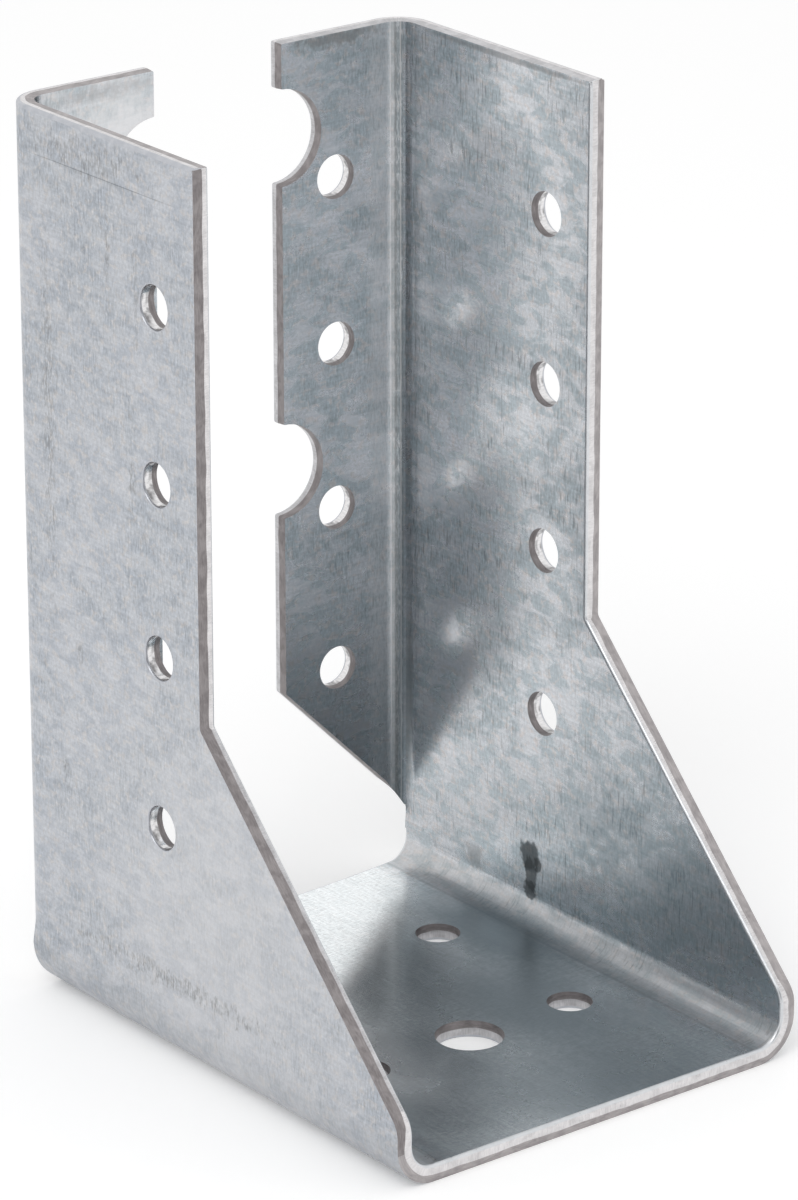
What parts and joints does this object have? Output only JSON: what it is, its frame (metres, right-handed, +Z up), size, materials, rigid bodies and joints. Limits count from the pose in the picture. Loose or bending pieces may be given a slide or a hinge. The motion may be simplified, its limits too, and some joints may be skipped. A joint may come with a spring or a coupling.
{
  "type": "joist hanger",
  "caption": "Folded sheet-steel joist hanger: flat seat, two leaves with sloping fronts, header flanges turned inward with half-round notches, punched nail holes.",
  "frame": {"origin": "centre of the box round the whole part, at the seat's underside", "axes": "+X across the hanger to the right as seen from the open front, +Y from the open front to the header plane, +Z up from the seat along the leaves"},
  "size_m": [0.056, 0.07, 0.105],
  "materials": {
    "galvanised_sheet": "hot-dip galvanised, dull blue-grey with a fine rolled grain"
  },
  "bodies": {
    "root": {"hanger": "galvanised_sheet"}
  },
  "joints": []
}
